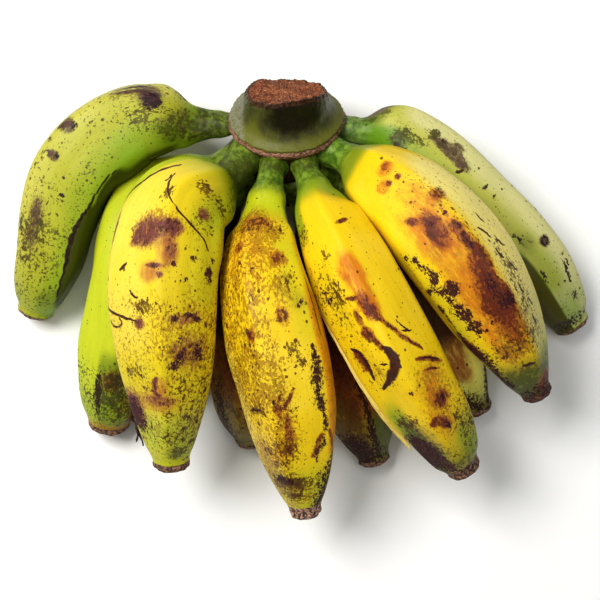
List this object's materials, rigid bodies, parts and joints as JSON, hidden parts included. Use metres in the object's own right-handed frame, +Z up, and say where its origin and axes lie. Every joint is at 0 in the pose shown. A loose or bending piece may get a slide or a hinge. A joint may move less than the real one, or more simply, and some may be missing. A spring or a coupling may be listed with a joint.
{
  "type": "hand of bananas",
  "caption": "Hand of short, ridged cooking bananas in two rows round a cut piece of bunch stalk, half green and half ripe, lying on its open side.",
  "frame": {"origin": "middle of the bounding box at its base, on the surface the hand lies on", "axes": "+Z up, +X across the hand from the left-hand finger to the right-hand one, +Y from the finger tips towards the stalk"},
  "size_m": [0.2178, 0.1648, 0.0784],
  "materials": {
    "stalk": "fibrous cut end, grey-green skin and a brown corky ring, dry and matte",
    "peel_green": "waxy green peel turning yellow, fine dark specks and brown scars, soft gloss",
    "peel_yellow": "waxy yellow peel with brown speckles, rust patches and bruises, green at both ends, soft gloss",
    "peel_shaded": "waxy yellow-green peel with brown staining towards the tip, soft gloss"
  },
  "bodies": {
    "root": {"crown": "stalk", "outer_finger_1": "peel_green", "outer_finger_2": "peel_yellow", "outer_finger_3": "peel_yellow", "outer_finger_4": "peel_yellow", "outer_finger_5": "peel_yellow", "outer_finger_6": "peel_green", "inner_finger_1": "peel_green", "inner_finger_2": "peel_shaded", "inner_finger_3": "peel_shaded", "inner_finger_4": "peel_shaded", "inner_finger_5": "peel_yellow"}
  },
  "joints": []
}
